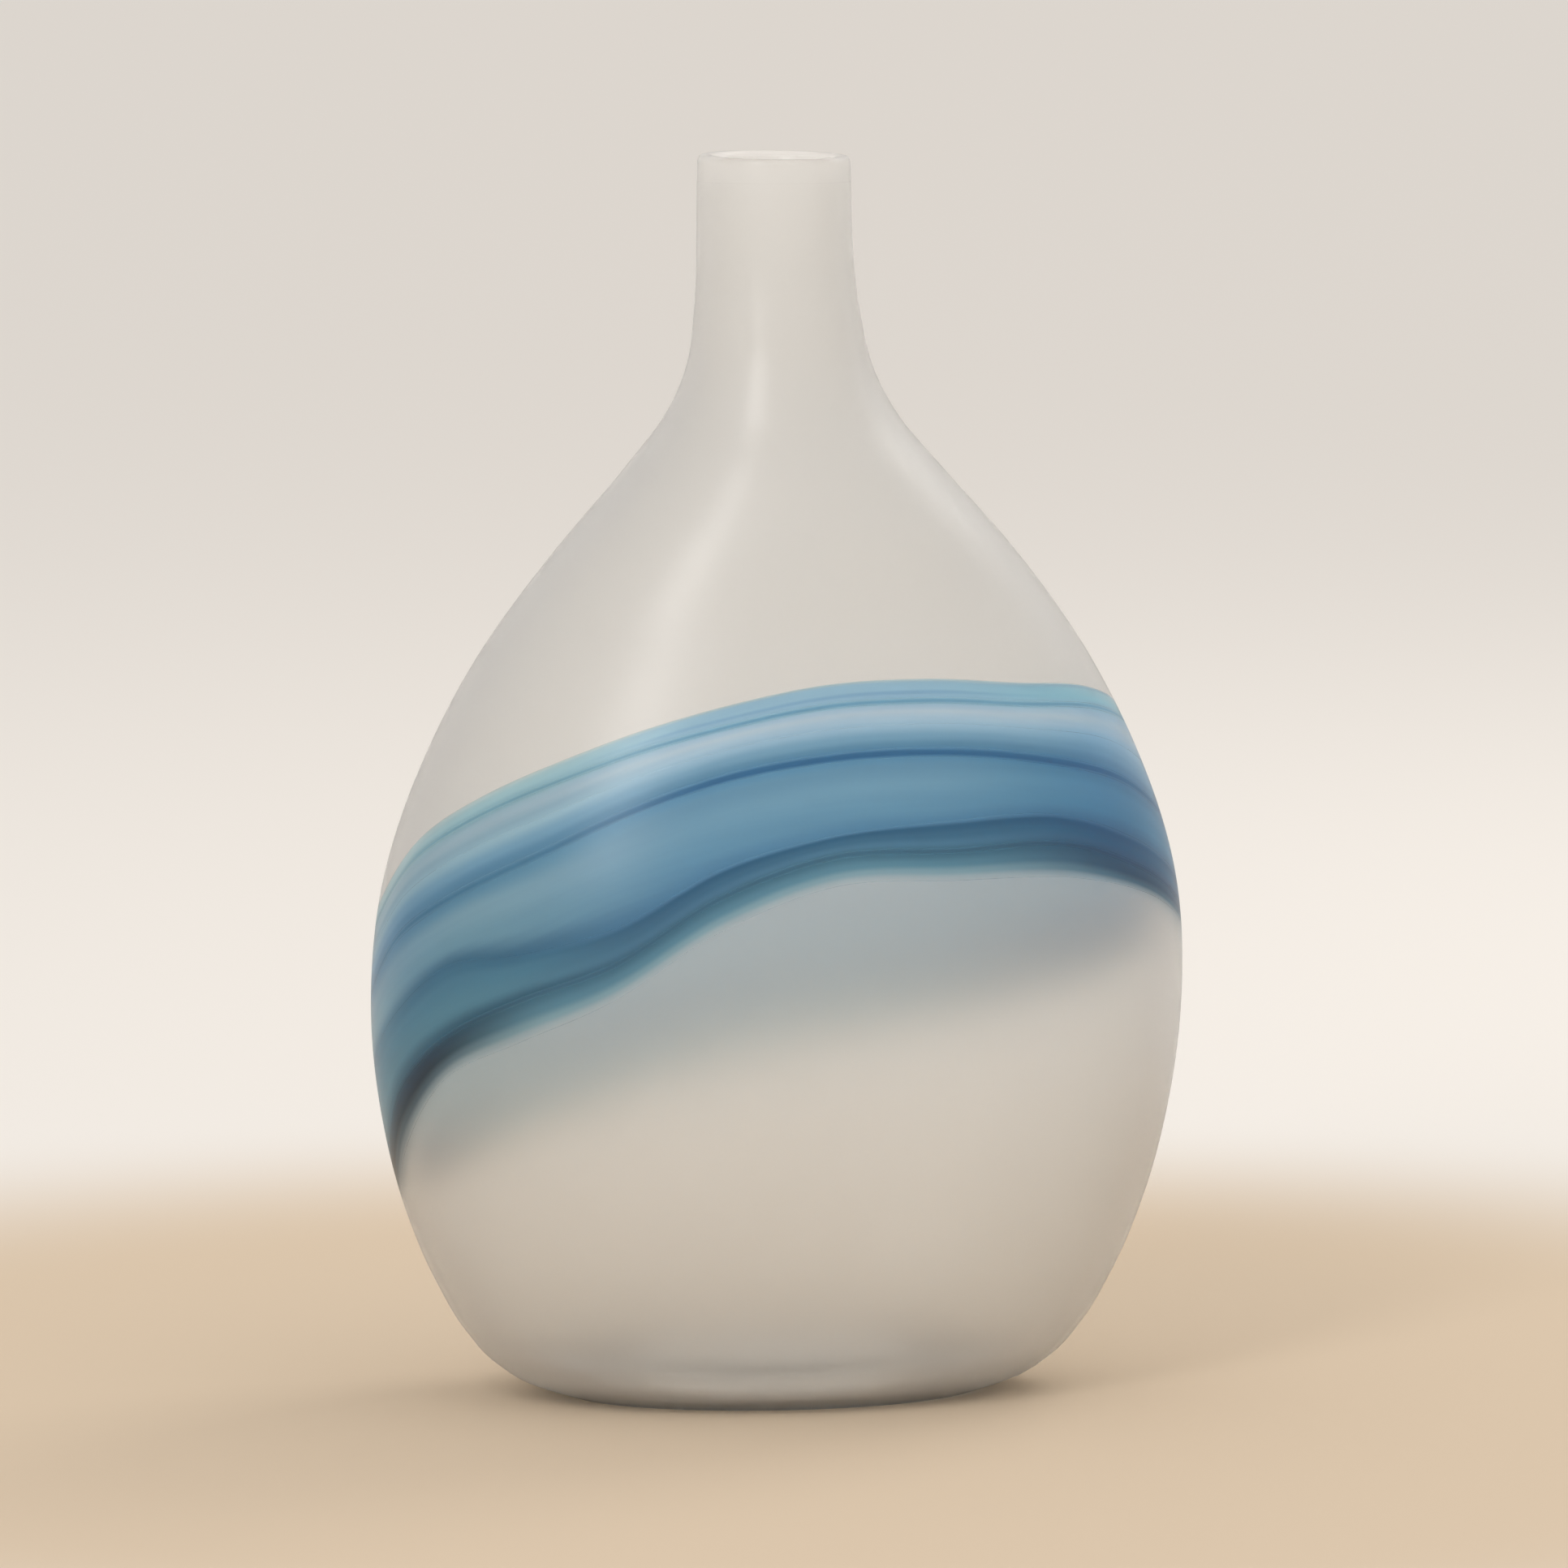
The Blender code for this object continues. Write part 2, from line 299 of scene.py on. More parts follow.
def flatSheet(name, rows):
    # rows: (half width, height, thickness, across) for each row, from the foot upwards
    count = vase["columns"] + 1
    half, height, thick, across = (
        np.array([np.broadcast_to(row[k], turn.shape) for row in rows]).ravel() for k in range(4))
    angle = np.tile(turn, len(rows))
    flat = np.stack([angle * 0.1, height, np.zeros_like(height)], axis=-1)     # the tree bends it into place
    faces = []
    for r in range(len(rows) - 1):
        for c in range(count - 1):
            a = r * count + c
            faces.append((a, a + 1, a + 1 + count, a + count))
    mesh = bpy.data.meshes.new(name)
    mesh.from_pydata([tuple(p) for p in flat], [], faces)
    aboveTrail = height - np.tile(swirlLine("trail"), len(rows))
    facts = {"turn": angle, "half": half, "height": height, "thick": thick, "across": across,
             "flowHeight": aboveTrail * 100,       # in centimetres
             "lean": smoothThrough(leans, height), "alongSin": np.sin(angle), "alongCos": np.cos(angle)}
    for label, values in facts.items():
        mesh.attributes.new(label, "FLOAT", "POINT").data.foreach_set("value", values.astype(np.float32))
    sheet = bpy.data.objects.new(name, mesh)
    bpy.context.scene.collection.objects.link(sheet)
    return sheet


def jointMaterial():
    # inside the hot wall there is no surface where one colour was laid beside the next
    made = bpy.data.materials.new("fusedJoint")
    made.use_nodes = True
    tree = Tree(made.node_tree)
    shader = tree.add("ShaderNodeBsdfTransparent", None, {"Color": (1.0, 1.0, 1.0, 1.0)})
    end = tree.node("ShaderNodeOutputMaterial")
    tree.nodeTree.links.new(shader.out, end.inputs["Surface"])
    return made


fusedJoint = jointMaterial()


def blow(name, rows, paint, under=0.0, group=wallTree, inputs=wallInputs, more=None):
    sheet = flatSheet(name + "Sheet", rows)
    modifier = sheet.modifiers.new("blown", "NODES")
    modifier.node_group = group
    settings = {"Flatness": vase["flatness"], "Oval Below": vase["ovalBelow"],
                "Round Above": vase["roundAbove"], "Under": under, "Material": paint,
                **(more or {"Joint Material": fusedJoint})}
    for label, value in settings.items():
        modifier[inputs[label]] = value
    evaluated = sheet.evaluated_get(bpy.context.evaluated_depsgraph_get())
    mesh = bpy.data.meshes.new_from_object(evaluated)
    bpy.data.objects.remove(sheet, do_unlink=True)
    mesh.name = name
    if group == wallTree:
        mesh.set_sharp_from_angle(angle=math.radians(vase["sharpFrom"]))
    piece = bpy.data.objects.new(name, mesh)
    bpy.context.scene.collection.objects.link(piece)
    return piece


def wallRows(low, high, thick, step=None):
    low, high = np.broadcast_to(low, turn.shape), np.broadcast_to(high, turn.shape)
    count = max(2, int(math.ceil(float((high - low).max()) / (step or vase["rowStep"]))))
    rows = []
    for k in range(count + 1):
        share = k / count
        z = low + (high - low) * share
        rows.append((smoothThrough(halfWidths, z), z, thick(z) if callable(thick) else thick, share))
    return rows


def finish(piece, cadNode):
    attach(piece, "root")
    if cadNode:
        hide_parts(cadNode)


def material(name):
    made = bpy.data.materials.new(name)
    made.use_nodes = True
    return made, Tree(made.node_tree)


def glassOutput(tree, colour, roughness, normal, transmission, ior, coat=0.0, coatRoughness=0.03):
    shader = tree.node("ShaderNodeBsdfPrincipled", None,
                       {"Base Color": colour, "Roughness": roughness, "Normal": normal,
                        "Transmission Weight": transmission, "IOR": ior, "Coat Weight": coat,
                        "Coat Roughness": coatRoughness})
    end = tree.node("ShaderNodeOutputMaterial")
    tree.nodeTree.links.new(shader.outputs["BSDF"], end.inputs["Surface"])


satin = {                 # the acid-etched outside, shared by the clear casing and the ribbons
    "roughness": 0.54,
    "patchiness": 0.06,   # how much the etch differs from place to place
    "grainSize": 0.0011,
    "grainBump": 0.05,
    "grainDepth": 0.0002,
    "patchScale": 22.0,
    "transmission": 0.82,
    "liningRoughness": 0.22,   # the inside of the casing was never etched
    "ior": 1.27,
    "coat": 0.60,         # a faint polish over the etch, for the soft highlights
    "coatRoughness": 0.28,
    "warmGlass": (0.993, 0.988, 0.977),
    "coolGlass": (0.983, 0.982, 0.973),
}
clearTint = (0.988, 0.985, 0.975)


def satinSurface(tree):
    where = tree.add("ShaderNodeTexCoord", output="Object")
    patches = tree.add("ShaderNodeTexNoise", None,
                       {"Vector": where, "Scale": satin["patchScale"], "Detail": 2.0}, "Fac")
    grain = tree.add("ShaderNodeTexNoise", None,
                     {"Vector": where, "Scale": 1 / satin["grainSize"], "Detail": 1.0}, "Fac")
    inside = tree.attribute("lining")     # 0 on a piece that has no such attribute
    etched = (patches - 0.5) * satin["patchiness"] + satin["roughness"]
    roughness = etched * (1 - inside) + inside * satin["liningRoughness"]
    normal = tree.add("ShaderNodeBump", None,
                      {"Strength": satin["grainBump"], "Distance": satin["grainDepth"], "Height": grain},
                      "Normal")
    return where, patches, roughness, normal


def satinOutput(tree, colour, roughness, normal):
    glassOutput(tree, colour, roughness, normal, satin["transmission"], satin["ior"], satin["coat"],
                satin["coatRoughness"])


def casingMaterial(name):
    made, tree = material(name)
    _, patches, roughness, normal = satinSurface(tree)
    satinOutput(tree, tree.mixColour(patches, satin["warmGlass"], satin["coolGlass"]), roughness, normal)
    return made


# the tints where one ribbon meets the next, so that the colour runs on without a step
edgeTints = {
    "front": {"crest": (0.70, 0.84, 0.90), "paleLow": (0.36, 0.66, 0.88), "threadLow": (0.44, 0.72, 0.92),
              "opalLow": (0.47, 0.74, 0.96), "hazeLow": (0.12, 0.36, 0.62), "trailLow": (0.15, 0.42, 0.68),
              "navyTop": (0.17, 0.43, 0.67), "seamTop": (0.12, 0.325, 0.47), "seamLow": (0.12, 0.33, 0.46),
              "hem": clearTint},
    "right": {"crest": (0.58, 0.77, 0.86), "paleLow": (0.36, 0.66, 0.86), "threadLow": (0.48, 0.76, 0.96),
              "opalLow": (0.40, 0.70, 0.94), "hazeLow": (0.10, 0.34, 0.60), "trailLow": (0.10, 0.35, 0.60),
              "navyTop": (0.08, 0.28, 0.50), "seamTop": (0.04, 0.17, 0.34), "seamLow": (0.03, 0.15, 0.29),
              "hem": clearTint},
    "left": {"crest": (0.62, 0.78, 0.84), "paleLow": (0.34, 0.62, 0.76), "threadLow": (0.44, 0.70, 0.82),
             "opalLow": (0.46, 0.72, 0.88), "hazeLow": (0.16, 0.40, 0.62), "trailLow": (0.20, 0.47, 0.68),
             "navyTop": (0.10, 0.31, 0.48), "seamTop": (0.06, 0.22, 0.34), "seamLow": (0.02, 0.10, 0.18),
             "hem": clearTint},
}
streaks = {                # fine streaks of the melt, drawn out along the flow
    "around": 1.4,
    "upwards": 3.2,
    "scale": 1.6,
    "wander": 0.40,        # how far they push the colours up or down
    "light": {"Red": 0.20, "Green": 0.16, "Blue": 0.10},     # how much they lighten and darken
}
turning = {                # sine or cosine of the angle where the front's tints give way to the others
    "right": (0.30, 0.95),
    "left": (0.30, 0.80),
    "tail": (0.62, 0.95),
    "back": (0.10, 0.70),
    "backTint": (0.94, 0.86, 0.80),
}


def ribbonMaterial(name, ribbon):
    made, tree = material(name)
    _, _, roughness, normal = satinSurface(tree)
    across = tree.attribute("across")
    aroundSin, aroundCos = tree.attribute("alongSin"), tree.attribute("alongCos")
    flow = tree.add("ShaderNodeCombineXYZ", None, {
        "X": aroundSin * streaks["around"], "Y": aroundCos * streaks["around"],
        "Z": tree.attribute("flowHeight") * streaks["upwards"]})
    strands = tree.add("ShaderNodeTexNoise", None,
                       {"Vector": flow, "Scale": streaks["scale"], "Detail": 3.0}, "Fac") - 0.5
    wander = across + strands * streaks["wander"] * across * (1 - across)
    low, high = ribbon["edges"]
    tints = {}
    for side, edge in edgeTints.items():
        between = ribbon.get(side, ribbon["front"])
        tints[side] = tree.ramp(wander, [(0.0, edge[low]), *between, (1.0, edge[high])])
    toRight = tree.fade(aroundSin, *turning["right"])
    toLeft = tree.fade(-aroundSin, *turning[ribbon.get("leftFrom", "left")])
    toBack = tree.fade(-aroundCos, *turning["back"])
    colour = tree.mixColour(toRight, tints["front"], tints["right"])
    colour = tree.mixColour(toLeft, colour, tints["left"])
    colour = tree.mixColour(toBack, colour, tree.mixColour(1.0, colour, turning["backTint"], "MULTIPLY"))
    light = tree.add("ShaderNodeCombineColor", None,
                     {channel: strands * amount + 1 for channel, amount in streaks["light"].items()})
    satinOutput(tree, tree.mixColour(1.0, colour, light, "MULTIPLY"), roughness, normal)
    return made


# the ribbons of the swirl, each a closed shell of the casing layer, between two of these lines
crest, trail, navy, seam, hem = (swirlLine(name) for name in ("crest", "trail", "navy", "seam", "hem"))
thread = crest - swirl["threadBelowCrest"]
halfThread, halfTrail = swirl["threadWidth"] / 2, swirl["trailWidth"] / 2
lines = {
    "crest": crest, "paleLow": thread + halfThread, "threadLow": thread - halfThread,
    "opalLow": thread + (trail - thread) * swirl["opalShare"],
    "hazeLow": trail + halfTrail, "trailLow": trail - halfTrail,
    "navyTop": navy, "seamTop": seam + halfThread, "seamLow": seam - halfThread, "hem": hem,
}
# edges: lower and upper line. front, right, left: (place across the ribbon, tint) between the two
ribbons = {
    "paleRibbon": {
        "node": "pale_ribbon", "slot": "pale_blue_glass", "edges": ("paleLow", "crest"),
        "front": [(0.14, (0.45, 0.73, 0.96)), (0.30, (0.30, 0.57, 0.83)), (0.46, (0.45, 0.74, 0.96)),
                  (0.82, (0.43, 0.72, 0.94)), (0.95, (0.42, 0.66, 0.80))],
        "right": [(0.30, (0.40, 0.79, 0.96)), (0.75, (0.39, 0.77, 0.95)), (0.92, (0.26, 0.56, 0.79))],
        "left": [(0.35, (0.50, 0.80, 0.92)), (0.8, (0.52, 0.80, 0.90)), (0.95, (0.52, 0.74, 0.80))]},
    "upperThread": {
        "node": "upper_thread", "slot": "slate_blue_glass", "edges": ("threadLow", "paleLow"),
        "front": [(0.5, (0.17, 0.46, 0.70))],
        "left": [(0.5, (0.20, 0.46, 0.62))]},
    "opalRibbon": {
        "node": "opal_ribbon", "slot": "opal_glass", "edges": ("opalLow", "threadLow"),
        "front": [(0.30, (0.56, 0.80, 1.0)), (0.62, (0.67, 0.85, 1.0)), (0.86, (0.58, 0.80, 1.0))],
        "left": [(0.30, (0.38, 0.61, 0.77)), (0.62, (0.52, 0.72, 0.86)), (0.86, (0.48, 0.69, 0.84))]},
    "hazeRibbon": {
        "node": "haze_ribbon", "slot": "haze_blue_glass", "edges": ("hazeLow", "opalLow"),
        "front": [(0.15, (0.15, 0.39, 0.62)), (0.5, (0.26, 0.53, 0.76))]},
    "darkTrail": {
        "node": "dark_trail", "slot": "deep_blue_glass", "edges": ("trailLow", "hazeLow"),
        "front": [(0.35, (0.035, 0.20, 0.44)), (0.65, (0.035, 0.20, 0.44))],
        "right": [(0.35, (0.03, 0.19, 0.42)), (0.65, (0.03, 0.19, 0.42))],
        "left": [(0.5, (0.09, 0.30, 0.50))]},
    "broadRibbon": {
        "node": "broad_ribbon", "slot": "mid_blue_glass", "edges": ("navyTop", "trailLow"),
        "front": [(0.22, (0.24, 0.52, 0.74)), (0.6, (0.28, 0.56, 0.77)), (0.88, (0.21, 0.47, 0.69))],
        "right": [(0.3, (0.12, 0.41, 0.65)), (0.7, (0.15, 0.45, 0.70)), (0.9, (0.12, 0.40, 0.64))],
        "left": [(0.3, (0.36, 0.62, 0.76)), (0.7, (0.42, 0.66, 0.80))]},
    "navyRibbon": {
        "node": "navy_ribbon", "slot": "navy_glass", "edges": ("seamTop", "navyTop"),
        "front": [(0.18, (0.15, 0.38, 0.56)), (0.50, (0.085, 0.285, 0.46)), (0.80, (0.045, 0.21, 0.385))],
        "right": [(0.4, (0.03, 0.215, 0.41)), (0.8, (0.018, 0.165, 0.36))],
        "left": [(0.3, (0.21, 0.48, 0.62)), (0.7, (0.17, 0.44, 0.60)), (0.9, (0.11, 0.35, 0.52))]},
    "seamThread": {
        "node": "seam_thread", "slot": "deep_blue_glass", "edges": ("seamLow", "seamTop"),
        "leftFrom": "tail",
        "front": [(0.5, (0.095, 0.27, 0.40))],
        "right": [(0.5, (0.02, 0.10, 0.23))],
        "left": [(0.5, (0.03, 0.13, 0.22))]},
    "tealRibbon": {
        "node": "teal_ribbon", "slot": "teal_glass", "edges": ("hem", "seamLow"),
        "leftFrom": "tail",
        "front": [(0.12, (0.88, 0.93, 0.94)), (0.34, (0.56, 0.77, 0.83)), (0.62, (0.24, 0.51, 0.64))],
        "right": [(0.08, (0.70, 0.79, 0.82)), (0.30, (0.12, 0.30, 0.42)), (0.62, (0.022, 0.12, 0.25))],
        "left": [(0.14, (0.70, 0.75, 0.77)), (0.36, (0.19, 0.28, 0.34)), (0.62, (0.012, 0.055, 0.10)),
                 (0.88, (0.012, 0.07, 0.14))]},
}
gap = vase["edgeGap"] / 2
for name, ribbon in ribbons.items():
    low, high = (lines[edge] for edge in ribbon["edges"])
    rows = wallRows(low + gap, high - gap, vase["casing"], vase["ribbonStep"])
    finish(blow(name, rows, ribbonMaterial(name, ribbon)), ribbon["node"])
print("swirl:", len(ribbons), "ribbons blown")

casingPaint = casingMaterial("satinCasing")
finish(blow("upperCasing", wallRows(crest + gap, vase["lipBase"], vase["casing"]), casingPaint),
       "upper_casing")
floorRows = [(radius, z, vase["casing"], 0.0) for radius, z in footRings]
finish(blow("lowerCasing", floorRows + wallRows(0.0, hem - gap, vase["casing"]), casingPaint),
       "lower_casing")
print("casing: upper and lower blown")

clear = {                  # unetched glass inside the casing, with faint waves down the wall
    "tint": (0.993, 0.993, 0.985),
    "roughness": 0.03,
    "ior": 1.06,           # low, because casing and bubble are fused in the real wall
    "waves": 0.10,
    "waveScale": 45.0,
    "waveStretch": (1.0, 1.0, 0.35),
    "waveDepth": 0.0006,
    "lighterCrest": 1.03,  # how much lighter the glass is on a wave than beside it
    "roughnessSpread": 0.02,
}


def clearMaterial(name, tint, roughness, ior, waviness):
    made, tree = material(name)
    where = tree.add("ShaderNodeTexCoord", output="Object")
    stretch = tree.add("ShaderNodeMapping", None, {"Vector": where, "Scale": clear["waveStretch"]})
    waves = tree.add("ShaderNodeTexNoise", None,
                     {"Vector": stretch, "Scale": clear["waveScale"], "Detail": 1.0}, "Fac")
    normal = tree.add("ShaderNodeBump", None,
                      {"Strength": waviness, "Distance": clear["waveDepth"], "Height": waves}, "Normal")
    colour = tree.mixColour(waves, tint, tuple(min(1.0, c * clear["lighterCrest"]) for c in tint))
    glassOutput(tree, colour, (waves - 0.5) * clear["roughnessSpread"] + roughness, normal, 1.0, ior)
    return made


def bubbleThickness(z):
    return vase["bubble"] + vase["heelExtra"] * np.exp(-np.asarray(z) / vase["heelFade"])


bubbleUnder = vase["casing"] + vase["layerGap"]      # how deep in the wall the bubble's outside lies
floorRows = [(radius, z, vase["bubble"] + vase["heelExtra"], 0.0) for radius, z in footRings]
bubblePaint = clearMaterial("clearBubble", clear["tint"], clear["roughness"], clear["ior"], clear["waves"])
bubbleRows = floorRows + wallRows(0.0, vase["lipBase"], bubbleThickness)
finish(blow("innerBubble", bubbleRows, bubblePaint, bubbleUnder), "inner_bubble")
print("inner bubble blown")

lip = {
    "start": 0.29331,
    "swell": 0.07,         # how much higher one side stands than the other, as a share of the lip
    "high": 195.0,         # the angle of the high side
    "meltFrom": 0.0040,    # above its start the etch gives way to the flame's polish
    "meltTo": 0.0062,
    "polish": 0.30,
    "meltedGlass": (0.99, 0.988, 0.98),
    "sharpFrom": 45,
    # (share of the wall inwards, share of the rise) from the outside over the crown
    "outline": [(0.0, 0.0), (0.004, 0.15), (0.012, 0.35), (0.022, 0.58), (0.035, 0.74), (0.06, 0.85),
                (0.11, 0.93), (0.19, 0.975), (0.31, 0.997), (0.48, 1.0), (0.64, 0.99), (0.76, 0.955),
                (0.86, 0.88), (0.94, 0.75), (0.985, 0.56), (1.0, 0.32), (1.0, 0.0)],
}


def closedRing(name, rings, paint):
    count = len(rings[0])
    points = [tuple(p) for ring in rings for p in ring]
    faces = []
    for k in range(len(rings)):
        for i in range(count):
            j = (i + 1) % count
            a, b = k * count, ((k + 1) % len(rings)) * count
            faces.append((a + i, a + j, b + j, b + i))
    mesh = bpy.data.meshes.new(name)
    mesh.from_pydata(points, [], faces)
    mesh.shade_smooth()
    mesh.set_sharp_from_angle(angle=math.radians(lip["sharpFrom"]))
    piece = bpy.data.objects.new(name, mesh)
    bpy.context.scene.collection.objects.link(piece)
    mesh.materials.append(paint)
    return piece


def lipRings():
    angle = np.radians(np.arange(vase["columns"]) * 360.0 / vase["columns"] - 90.0)
    z = vase["lipBase"]
    half, lean = float(smoothThrough(halfWidths, z)), float(smoothThrough(leans, z))
    wall = bubbleUnder + vase["bubble"]
    crown = vase["height"] - lip["start"]
    swell = np.cos(angle + math.radians(360 - lip["high"])) * lip["swell"] + (1 - lip["swell"])
    rings = []
    for share, rise in lip["outline"]:
        radius = half - share * wall
        rings.append(np.stack([lean + radius * np.sin(angle), -radius * np.cos(angle),
                               lip["start"] + crown * rise * swell], axis=-1))
    return rings


def lipMaterial():
    made, tree = material("firePolishedLip")
    where, _, roughness, normal = satinSurface(tree)
    height = tree.add("ShaderNodeSeparateXYZ", None, {"Vector": where}, "Z")
    melted = tree.fade(height, lip["start"] + lip["meltFrom"], lip["start"] + lip["meltTo"])
    colour = tree.mixColour(melted, clearTint, lip["meltedGlass"])
    satinOutput(tree, colour, roughness * (1 - melted) + melted * lip["polish"], normal)
    return made


seeds = {                  # tiny air bubbles caught in the wall
    "density": 620.0,      # for each square metre
    "smallest": 0.00008,
    "largest": 0.00019,
    "randomSeed": 11,
    "from": 0.012,
    "upTo": 0.288,
    "rowStep": 0.006,
    "tint": (0.98, 0.98, 0.97),
    "roughness": 0.05,
    "ior": 1.30,
}
seedGroup, seedInputs = seedTree()
seedPaint = clearMaterial("trappedAir", seeds["tint"], seeds["roughness"], seeds["ior"], 0.0)
seedPiece = blow("seedBubbles", wallRows(seeds["from"], seeds["upTo"], 0.0, seeds["rowStep"]), seedPaint,
                 vase["casing"] + vase["layerGap"] / 2, seedGroup, seedInputs,
                 {"Density": seeds["density"], "Smallest": seeds["smallest"], "Largest": seeds["largest"],
                  "Random Seed": seeds["randomSeed"]})
finish(seedPiece, None)
print("seeds scattered:", len(seedPiece.data.polygons) // 80)      # 80 faces each

lipRing = closedRing("lipRing", lipRings(), lipMaterial())
lipRing.data.materials.append(fusedJoint)
inside = lipRing.data.attributes.new("lining", "FLOAT", "FACE")
for face in lipRing.data.polygons:
    if face.normal.z < -0.99:
        face.material_index = 1      # the underside is fused to the wall below it
    axis = Vector((leans[-1][1], 0.0, face.center.z))
    inside.data[face.index].value = float(face.normal.dot(face.center - axis) < 0)
finish(lipRing, "lip_ring")

pontil = {
    "radius": 0.012,
    "bottom": 0.0007,
    "thickness": 0.0010,
    "bevel": 0.0003,
    "columns": 96,
    "sharpFrom": 40,
    "turningRings": 420.0,     # marks of the grinding wheel
    "ringWander": 3.0,
    "pits": 1600.0,
    "groundGlass": ((0.80, 0.81, 0.79), (0.90, 0.90, 0.88)),
    "roughness": 0.35,
    "pitRoughness": 0.2,
    "bump": 0.35,
    "bumpDepth": 0.0002,
    "transmission": 0.7,
    "ior": 1.45,
}


def pontilPiece():
    x = leans[0][1]
    r, b, bottom = pontil["radius"], pontil["bevel"], pontil["bottom"]
    top = bottom + pontil["thickness"]
    # (radius, height) from the middle of the underside round the bevelled rim to the middle of the top
    outline = [(0.0, bottom), (r * 0.35, bottom), (r * 0.7, bottom), (r - b, bottom),
               (r - b * 0.3, bottom + b * 0.3), (r, bottom + b), (r, top - b), (r - b * 0.3, top - b * 0.3),
               (r - b, top), (r * 0.6, top), (0.0, top)]
    mesh = bmesh.new()
    rings = []
    count = pontil["columns"]
    for radius, z in outline:
        if radius == 0.0:
            rings.append([mesh.verts.new((x, 0.0, z))])
        else:
            rings.append([mesh.verts.new((x + radius * math.sin(a), -radius * math.cos(a), z))
                          for a in (2 * math.pi * k / count for k in range(count))])
    for low, high in zip(rings, rings[1:]):
        for i in range(count):
            j = (i + 1) % count
            if len(low) == 1:
                mesh.faces.new((low[0], high[j], high[i]))
            elif len(high) == 1:
                mesh.faces.new((low[i], low[j], high[0]))
            else:
                mesh.faces.new((low[i], low[j], high[j], high[i]))
    data = bpy.data.meshes.new("pontilButton")
    mesh.to_mesh(data)
    mesh.free()
    data.shade_smooth()
    data.set_sharp_from_angle(angle=math.radians(pontil["sharpFrom"]))
    piece = bpy.data.objects.new("pontilButton", data)
    bpy.context.scene.collection.objects.link(piece)
    return piece


def groundMaterial():
    made, tree = material("groundPontil")
    where = tree.add("ShaderNodeTexCoord", output="Object")
    rings = tree.add("ShaderNodeTexWave", {"wave_type": "RINGS", "rings_direction": "Z"},
                     {"Vector": where, "Scale": pontil["turningRings"], "Distortion": pontil["ringWander"],
                      "Detail": 2.0, "Detail Scale": 2.0}, "Fac")
    pits = tree.add("ShaderNodeTexNoise", None,
                    {"Vector": where, "Scale": pontil["pits"], "Detail": 2.0}, "Fac")
    normal = tree.add("ShaderNodeBump", None,
                      {"Strength": pontil["bump"], "Distance": pontil["bumpDepth"],
                       "Height": rings * 0.5 + pits * 0.5}, "Normal")
    colour = tree.mixColour(pits, *pontil["groundGlass"])
    glassOutput(tree, colour, pits * pontil["pitRoughness"] + pontil["roughness"], normal,
                pontil["transmission"], pontil["ior"])
    return made


pontilButton = pontilPiece()
pontilButton.data.materials.append(groundMaterial())
finish(pontilButton, "pontil_button")
print("lip and pontil made")

studio = {
    "paintedLightUnderVase": (0.97, 0.90, 0.80),    # painted light: a pale pool on the floor under the vase, lightening its shadow there as if light came through the glass; hidden by the vase, and only seen through it
    "floorNear": (0.74, 0.61, 0.465),
    "paintedLightRadius": (0.046, 0.053),
    "floorFar": (0.92, 0.895, 0.86),
    "floorRadius": 30.0,
    "nearRadius": 0.24,
    "farRadius": 0.52,
    "horizonAir": (0.725, 0.680, 0.630),
    "upperAir": (0.785, 0.755, 0.725),
    "fromRight": 0.10,       # how much brighter the right of the room is than its middle
    "horizon": (0.06, 0.45),     # the height over which the horizon's air gives way to the upper air
}
lights = {
    "windowLight": {"place": (-1.14, -1.54, 1.35), "target": (0.0, 0.0, 0.20), "width": 0.50, "height": 1.4,
                    "power": 10.5, "colour": (1.0, 0.98, 0.96), "mirrored": True},
    "backLight": {"place": (1.15, 0.85, 1.50), "target": (0.0, 0.0, 0.08), "width": 0.8, "height": 0.8,
                  "power": 6.5, "colour": (1.0, 0.97, 0.93), "mirrored": False},
}


def studioFloor():
    mesh = bmesh.new()
    bmesh.ops.create_circle(mesh, cap_ends=True, segments=128, radius=studio["floorRadius"])
    data = bpy.data.meshes.new("studioFloor")
    mesh.to_mesh(data)
    mesh.free()
    floor = bpy.data.objects.new("studioFloor", data)
    bpy.context.scene.collection.objects.link(floor)
    made, tree = material("studioFloor")
    where = tree.add("ShaderNodeTexCoord", output="Object")
    far = tree.add("ShaderNodeVectorMath", {"operation": "LENGTH"}, {"Vector": where}, "Value")
    blend = tree.fade(far, studio["nearRadius"], studio["farRadius"], "SMOOTHERSTEP")
    # painted light: an oval of paler floor under the vase, where the vase's shadow falls
    oval = tree.add("ShaderNodeVectorMath", {"operation": "MULTIPLY"},
                    {0: where, 1: (1.0, 1 / vase["flatness"], 1.0)}, "Vector")
    beside = tree.add("ShaderNodeVectorMath", {"operation": "LENGTH"}, {"Vector": oval}, "Value")
    under = tree.fade(beside, *studio["paintedLightRadius"])
    near = tree.mixColour(under, studio["paintedLightUnderVase"], studio["floorNear"])
    colour = tree.mixColour(blend, near, studio["floorFar"])
    shader = tree.node("ShaderNodeBsdfDiffuse", None, {"Color": colour})
    end = tree.node("ShaderNodeOutputMaterial")
    tree.nodeTree.links.new(shader.outputs[0], end.inputs["Surface"])
    data.materials.append(made)


def aimed(thing, place, target):
    thing.location = place
    thing.rotation_euler = (Vector(target) - Vector(place)).to_track_quat("-Z", "Y").to_euler()
    bpy.context.scene.collection.objects.link(thing)


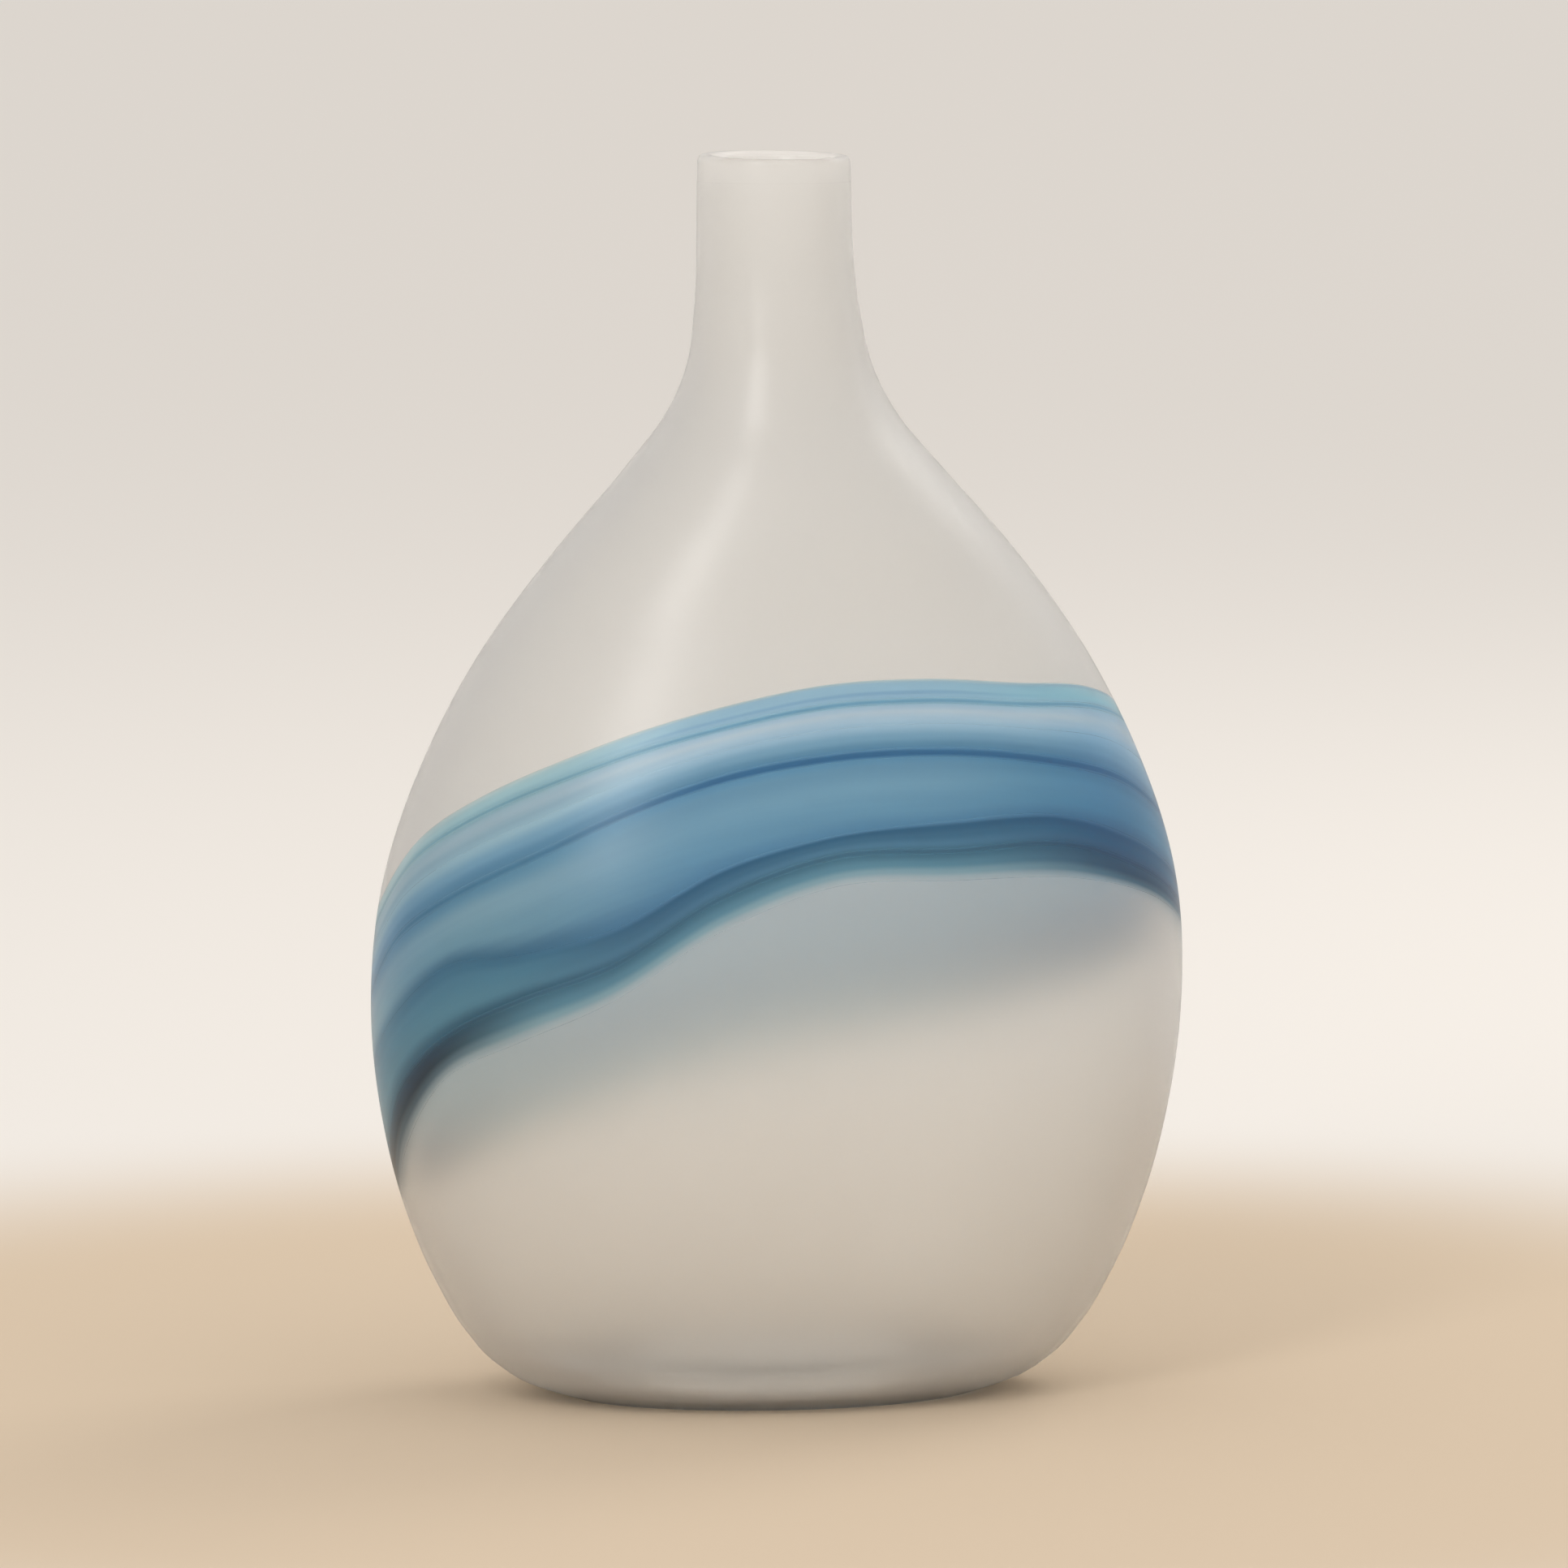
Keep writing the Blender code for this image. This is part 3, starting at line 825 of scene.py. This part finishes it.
def softBox(name, place, target, width, height, power, colour, mirrored):
    lamp = bpy.data.lights.new(name, "AREA")
    lamp.shape, lamp.size, lamp.size_y = "RECTANGLE", width, height
    lamp.energy, lamp.color = power, colour
    box = bpy.data.objects.new(name, lamp)
    box.visible_glossy = mirrored
    aimed(box, place, target)


def studioAir():
    # even light from all round, a little dimmer at the level of the horizon, where it meets the floor
    world = bpy.data.worlds.new("studioAir")
    bpy.context.scene.world = world
    world.use_nodes = True
    tree = Tree(world.node_tree)
    direction = tree.add("ShaderNodeTexCoord", output="Generated")
    parts = tree.node("ShaderNodeSeparateXYZ", None, {"Vector": direction})
    sideways, height = Socket(tree, parts.outputs["X"]), Socket(tree, parts.outputs["Z"])
    rising = tree.fade(height, *studio["horizon"])
    air = tree.add("ShaderNodeBackground", None,
                   {"Color": tree.mixColour(rising, studio["horizonAir"], studio["upperAir"]),
                    "Strength": sideways * rising * studio["fromRight"] + 1.0})
    end = tree.node("ShaderNodeOutputWorld")
    tree.nodeTree.links.new(air.out, end.inputs["Surface"])


studioFloor()
studioAir()
for name, light in lights.items():
    softBox(name, **light)

camera = {"distance": 2.462, "height": 0.403, "azimuth": -10.0, "aimHeight": 0.1477, "aimAside": 0.0014,
          "lens": 235.3, "sensor": 36.0, "clip": (0.05, 100.0)}
turnTo = math.radians(camera["azimuth"])
lens = bpy.data.cameras.new("viewCamera")
lens.lens, lens.sensor_width = camera["lens"], camera["sensor"]
lens.clip_start, lens.clip_end = camera["clip"]
eye = bpy.data.objects.new("viewCamera", lens)
aimed(eye, (camera["distance"] * math.sin(turnTo), -camera["distance"] * math.cos(turnTo), camera["height"]),
      (camera["aimAside"] * math.cos(turnTo), camera["aimAside"] * math.sin(turnTo), camera["aimHeight"]))
bpy.context.scene.camera = eye
bpy.context.scene.view_settings.view_transform = "Standard"
bpy.context.scene.cycles.max_bounces = 24            # enough for light to pass every layer of both walls
bpy.context.scene.cycles.transmission_bounces = 20
print("studio set")

bpy.context.view_layer.update()
